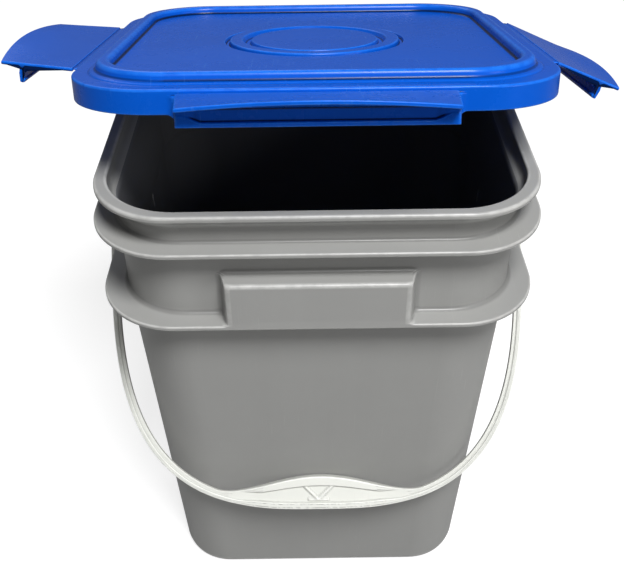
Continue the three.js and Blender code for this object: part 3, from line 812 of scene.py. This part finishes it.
# The living hinge is a thin strip with a shallow groove along its middle: a section of (out, half
# thickness) carried along the hinge. Its points pass from the lid's level to the latch's raised plane
# by a straight share over the bend. It also returns the two ends of the bend.
def makeWeb(side, latch, size):
    along = np.linspace(-size["half"], size["half"], 40)[:, None]
    out = np.array([size["from"], -3, -1.6, -0.6, 0, 0.5, size["to"]])
    thick = size["thickness"] * np.array([1, 1, 0.9, 0.6, 0.5, 0.6, 0.9]) / 2
    ringOut = np.concatenate([out, out[::-1]])
    ringUp = size["up"] + np.concatenate([thick, -thick[::-1]])
    grid = np.stack(np.broadcast_arrays(along, ringOut, ringUp), -1)
    shell = closedGrid(grid, poles=False, caps=True)
    bend = np.clip((shell["points"][:, 1] + 1.2) / 2.0, 0, 1)[:, None]
    flat = {**latch, "raise": {side: 0}}
    level = latchToRest(shell["points"], side, flat)
    raised = latchToRest(shell["points"], side, latch)
    shell["points"] = level * (1 - bend) + raised * bend
    start = latchToRest(np.array([0.0, -1.6, 0.0]), side, flat) * 0.001
    end = latchToRest(np.array([0.0, 0.9, 0.0]), side, latch) * 0.001
    return makePiece(f"{side}HingeStrip", [shell], [bluePlastic]), start, end


for side in ("front", "right", "rear", "left"):
    latch = makeLatch(side, latchSizes)
    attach(latch, f"latch_{side}")
    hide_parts(f"latch_{side}")
    strip, start, end = makeWeb(side, latchSizes, webSizes)
    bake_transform(strip)
    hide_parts(f"hinge_web_{side}")
print("latches and hinge strips made")

handleSizes = {
    "half": 155.7,
    "reach": 220.0,
    "straight": 20.0,
    "exponent": 3.0,
    "strapWidth": 5.5,
    "strapDepth": 6.4,
    "gripWidth": 24.5,
    "gripDepth": 10.0,
    "gripSpread": 78.0,
    "gripPower": 1.6,
    "gripRun": 84.0,  # from the middle of the grip to its end, along the outer edge
    "borders": (4.4, 6.6),  # outer and inner, at the middle of the grip
    "borderSpread": 64.0,
    "recess": 2.6,
    "ribHeight": 1.9,
    "restAngle": 39.95,  # degrees forward of hanging straight down
    "eye": 8.6,
    "pin": 5.0,
    "collar": 142.9,  # where the pin's collar and the pin itself end, across
    "pinEnd": 131.2,
}


# From the handle's plane (across, down from the pivots, out of the plane) to its rest against the
# front: a turn about the pivots from hanging straight down.
def handleToRest(points, size):
    angle = math.radians(size["restAngle"])
    x, down, back = points[..., 0], points[..., 1], points[..., 2]
    y = -down * math.sin(angle) + back * math.cos(angle)
    z = pivotHeight - down * math.cos(angle) - back * math.sin(angle)
    return np.stack([x, y, z], -1)


# The handle is one section carried from pivot to pivot. The outer edge is straight by the pivots and a
# superellipse below, the inner edge lies a strap's width inside and swells over the grip. Across the
# strap the outer half stands proud of the inner. Over the grip, two borders stand round a sunk middle
# with a V of ribs.
def makeHandle(size):
    exponent = 2 / size["exponent"]
    straight, reach, gripWidth = size["straight"], size["reach"], size["gripWidth"]
    strapWidth, strapDepth = size["strapWidth"], size["strapDepth"]

    def edgeLine(inset, turn):
        across = size["half"] - inset
        down = reach - straight - inset
        x = across * bent(np.cos(turn), exponent)
        return np.stack([x, straight + down * np.abs(np.sin(turn)) ** exponent], -1)

    fine = np.linspace(0, np.pi, 20001)
    run = edgeLine(0, fine)
    length = np.concatenate([[0], np.cumsum(np.linalg.norm(np.diff(run, axis=0), axis=1))])
    middle = length[-1] / 2
    gripStart = middle - size["gripRun"]
    armStations = np.linspace(0, gripStart, 46)
    gripStations = np.linspace(gripStart, middle, 130)[1:]
    stations = np.concatenate([armStations, gripStations])
    stations = np.concatenate([stations, length[-1] - stations[-2::-1]])
    turn = np.interp(stations, length, fine)
    outerEdge = edgeLine(0, turn)
    innerEdge = edgeLine(strapWidth, turn)
    swell = np.clip(1 - (innerEdge[:, 0] / size["gripSpread"]) ** 2, 0, 1)
    innerEdge[:, 1] -= (gripWidth - strapWidth) * swell ** size["gripPower"]
    top = np.linspace(-4, straight, 7)[:-1]
    arm = np.stack([np.full_like(top, size["half"]), top], -1)
    armIn = arm - [strapWidth, 0]
    flip = np.array([-1, 1])
    outerEdge = np.concatenate([arm, outerEdge, arm[::-1] * flip])
    innerEdge = np.concatenate([armIn, innerEdge, armIn[::-1] * flip])
    width = np.linalg.norm(innerEdge - outerEdge, axis=1)
    # the section passes from the strap's to the grip's by how near the middle it is
    share = np.clip(1 - (outerEdge[:, 0] / size["borderSpread"]) ** 2, 0, 1)
    share = np.where(outerEdge[:, 1] < reach / 2, 0, share)
    grip = smooth(0, 0.55, share)
    thick = strapDepth + (size["gripDepth"] - strapDepth) * smooth(0, 0.8, share)
    back, front = thick / 2, -thick / 2
    outerWide, innerWide = size["borders"]
    outerBorder = 0.52 * strapWidth * (1 - grip) + outerWide * grip
    innerBorder = 0.9 * (1 - grip) + innerWide * grip * np.clip(width / gripWidth, 0.3, 1)
    step = 1.3 * (1 - grip) + size["recess"] * grip
    sunk = front + step
    innerFront = sunk - step * smooth(0.0, 0.5, share)
    slope = 0.5 + 0.3 * grip
    first = outerBorder + slope
    last = np.maximum(width - innerBorder - slope, first + 0.35)
    # corners as (across the strap from its outer edge, depth, corner cut)
    corners = stackedCorners([
        (0, back, 1.2), (0, front, 1.0), (outerBorder, front, 0.5), (first, sunk, 0.45),
        (last, sunk, 0.45), (np.minimum(last + slope, width - 0.6), innerFront, 0.5),
        (width, innerFront, 1.0), (width, back, 1.2),
    ], len(width))
    section = softLine(corners[..., :2], corners[..., 2], closed=True, steps=4, inner=9)
    part, depth = section[..., 0], section[..., 1]
    direction = (innerEdge - outerEdge) / width[:, None]
    flat = outerEdge[:, None, :] + direction[:, None, :] * part[..., None]
    x, down = flat[..., 0], flat[..., 1]
    # ribs on the sunk floor: a V that opens towards the pail, with a short foot. A rib stands where
    # the distance from its line is less than its half width
    fromEdge = reach - down
    fromMiddle = np.abs(x + 1)
    floor = (depth < 0) & (part > first[:, None]) & (part < last[:, None])
    arms = np.abs(fromMiddle - (fromEdge - 7.2) * 1.05) / 1.45 + 6 * (fromEdge < 6.6)
    foot = np.abs(fromEdge - 6.9) + 4 * (fromMiddle > 7.5)
    rise = smooth(0, 1, 1.35 - np.minimum(arms, foot))
    depth = depth - np.where(floor, rise * size["ribHeight"] * grip[:, None], 0)
    shells = [closedGrid(np.stack([x, down, depth], -1), poles=False, caps=True)]
    # an eye on each arm with its collar and its pin, turned round the pivot line
    eye, pin, eyeOut, eyeIn = size["eye"], size["pin"], size["half"], size["half"] - strapWidth - 0.5
    collar, pinEnd = size["collar"], size["pinEnd"]
    outline = np.array([(0, eyeOut - 0.9, 0), (4.2, eyeOut - 0.9, 0.3), (4.8, eyeOut, 0.4),
                        (eye, eyeOut, 1.3), (eye, eyeIn, 1.0), (7.0, eyeIn - 0.3, 0.4),
                        (6.6, collar, 0.8), (pin, collar - 0.5, 0.4), (pin, pinEnd, 0.9),
                        (0, pinEnd, 0)])
    outline = softLine(outline[:, :2], outline[:, 2], steps=4, inner=1)
    shells += [turned(outline, (0, 0, 0), side) for side in (-1, 1)]
    for shell in shells:
        shell["points"] = handleToRest(shell["points"], size)
    return makePiece("dropHandle", shells, [whitePlastic])


dropHandle = makeHandle(handleSizes)
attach(dropHandle, "handle")
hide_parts("drop_handle")
print("handle made")

studio = {
    "floorColour": (0.38, 0.38, 0.38, 1.0),
    "floorSize": 12.0,
    "aim": (0.0, 0.0, 0.25),
    "worldStrength": 0.15,
    "worldSeen": 0.80,  # what the camera sees of the world past the floor
    "key": {"place": (0.4, -1.2, 2.35), "size": 0.8, "power": 70.0},
    "side": {"place": (1.7, -1.3, 1.0), "size": 0.8, "power": 8.0},
    "back": {"place": (-0.5, 2.0, 1.7), "size": 1.6, "power": 9.0},
    "floorGlow": 0.75,  # what the camera sees of the floor is lifted by this much
}


# A flat pale floor with a faint, very broad tone change. It glows for camera rays alone.
def makeFloor(size):
    half = size["floorSize"] / 2
    mesh = bpy.data.meshes.new("studioFloor")
    corners = [(-half, -half, 0), (half, -half, 0), (half, half, 0), (-half, half, 0)]
    mesh.from_pydata(corners, [], [(0, 1, 2, 3)])
    material = bpy.data.materials.new("paleFloor")
    material.use_nodes = True
    tree = material.node_tree
    place = addNode(tree, "TexCoord").outputs["Object"]
    cloud = addNode(tree, "TexNoise", Vector=place, Scale=1.5, Detail=2.0).outputs["Fac"]
    darker = (*(0.985 * value for value in size["floorColour"][:3]), 1.0)
    shade = mixColour(tree, cloud, size["floorColour"], darker)
    shader = tree.nodes["Principled BSDF"]
    tree.links.new(shade, shader.inputs["Base Color"])
    shader.inputs["Roughness"].default_value = 0.9
    shader.inputs["Specular IOR Level"].default_value = 0.1
    seen = addNode(tree, "LightPath").outputs["Is Camera Ray"]
    shader.inputs["Emission Color"].default_value = (1.0, 1.0, 1.0, 1.0)
    glow = mathNode(tree, "MULTIPLY", seen, size["floorGlow"])
    tree.links.new(glow, shader.inputs["Emission Strength"])
    mesh.materials.append(material)
    piece = bpy.data.objects.new("studioFloor", mesh)
    bpy.context.scene.collection.objects.link(piece)
    return piece


# A round area light at its place, turned so that it looks at the middle of the bucket: the tip and
# the turn are the angles of the line from there to the light.
def addLight(name, spec):
    light = bpy.data.lights.new(name, "AREA")
    light.shape = "DISK"
    light.size = spec["size"]
    light.energy = spec["power"]
    lamp = bpy.data.objects.new(name, light)
    bpy.context.scene.collection.objects.link(lamp)
    away = np.array(spec["place"]) - studio["aim"]
    turn = math.atan2(away[1], away[0])
    tip = math.acos(away[2] / np.linalg.norm(away))
    lamp.location = spec["place"]
    lamp.rotation_euler = (0, tip, turn)


makeFloor(studio)
for name in ("key", "side", "back"):
    addLight(f"{name}Light", studio[name])
world = bpy.data.worlds.new("studioWorld")
world.use_nodes = True
tree = world.node_tree
background = tree.nodes["Background"]
background.inputs["Color"].default_value = (1.0, 1.0, 1.0, 1.0)
seen = addNode(tree, "LightPath").outputs["Is Camera Ray"]
strength = ramp(tree, seen, 0.0, 1.0, studio["worldStrength"], studio["worldSeen"])
tree.links.new(strength, background.inputs["Strength"])
bpy.context.scene.world = world
bpy.context.scene.view_settings.view_transform = "Standard"

# The camera looks towards +Y, tipped down; angles are in radians.
cameraSpec = {
    "place": (-0.004658, -0.549824, 0.651658),
    "down": 0.673444,
    "yaw": -0.001733,
    "roll": -0.012574,
    "lens": 50.19,
}
camera = bpy.data.objects.new("camera", bpy.data.cameras.new("camera"))
bpy.context.scene.collection.objects.link(camera)
camera.data.lens = cameraSpec["lens"]
camera.data.sensor_width = 36.0
camera.data.clip_start = 0.01
camera.matrix_world = (
    Matrix.Translation(cameraSpec["place"])
    @ Matrix.Rotation(cameraSpec["yaw"], 4, "Z")
    @ Matrix.Rotation(math.pi / 2 - cameraSpec["down"], 4, "X")
    @ Matrix.Rotation(cameraSpec["roll"], 4, "Z")
)
bpy.context.scene.camera = camera
print("studio made")
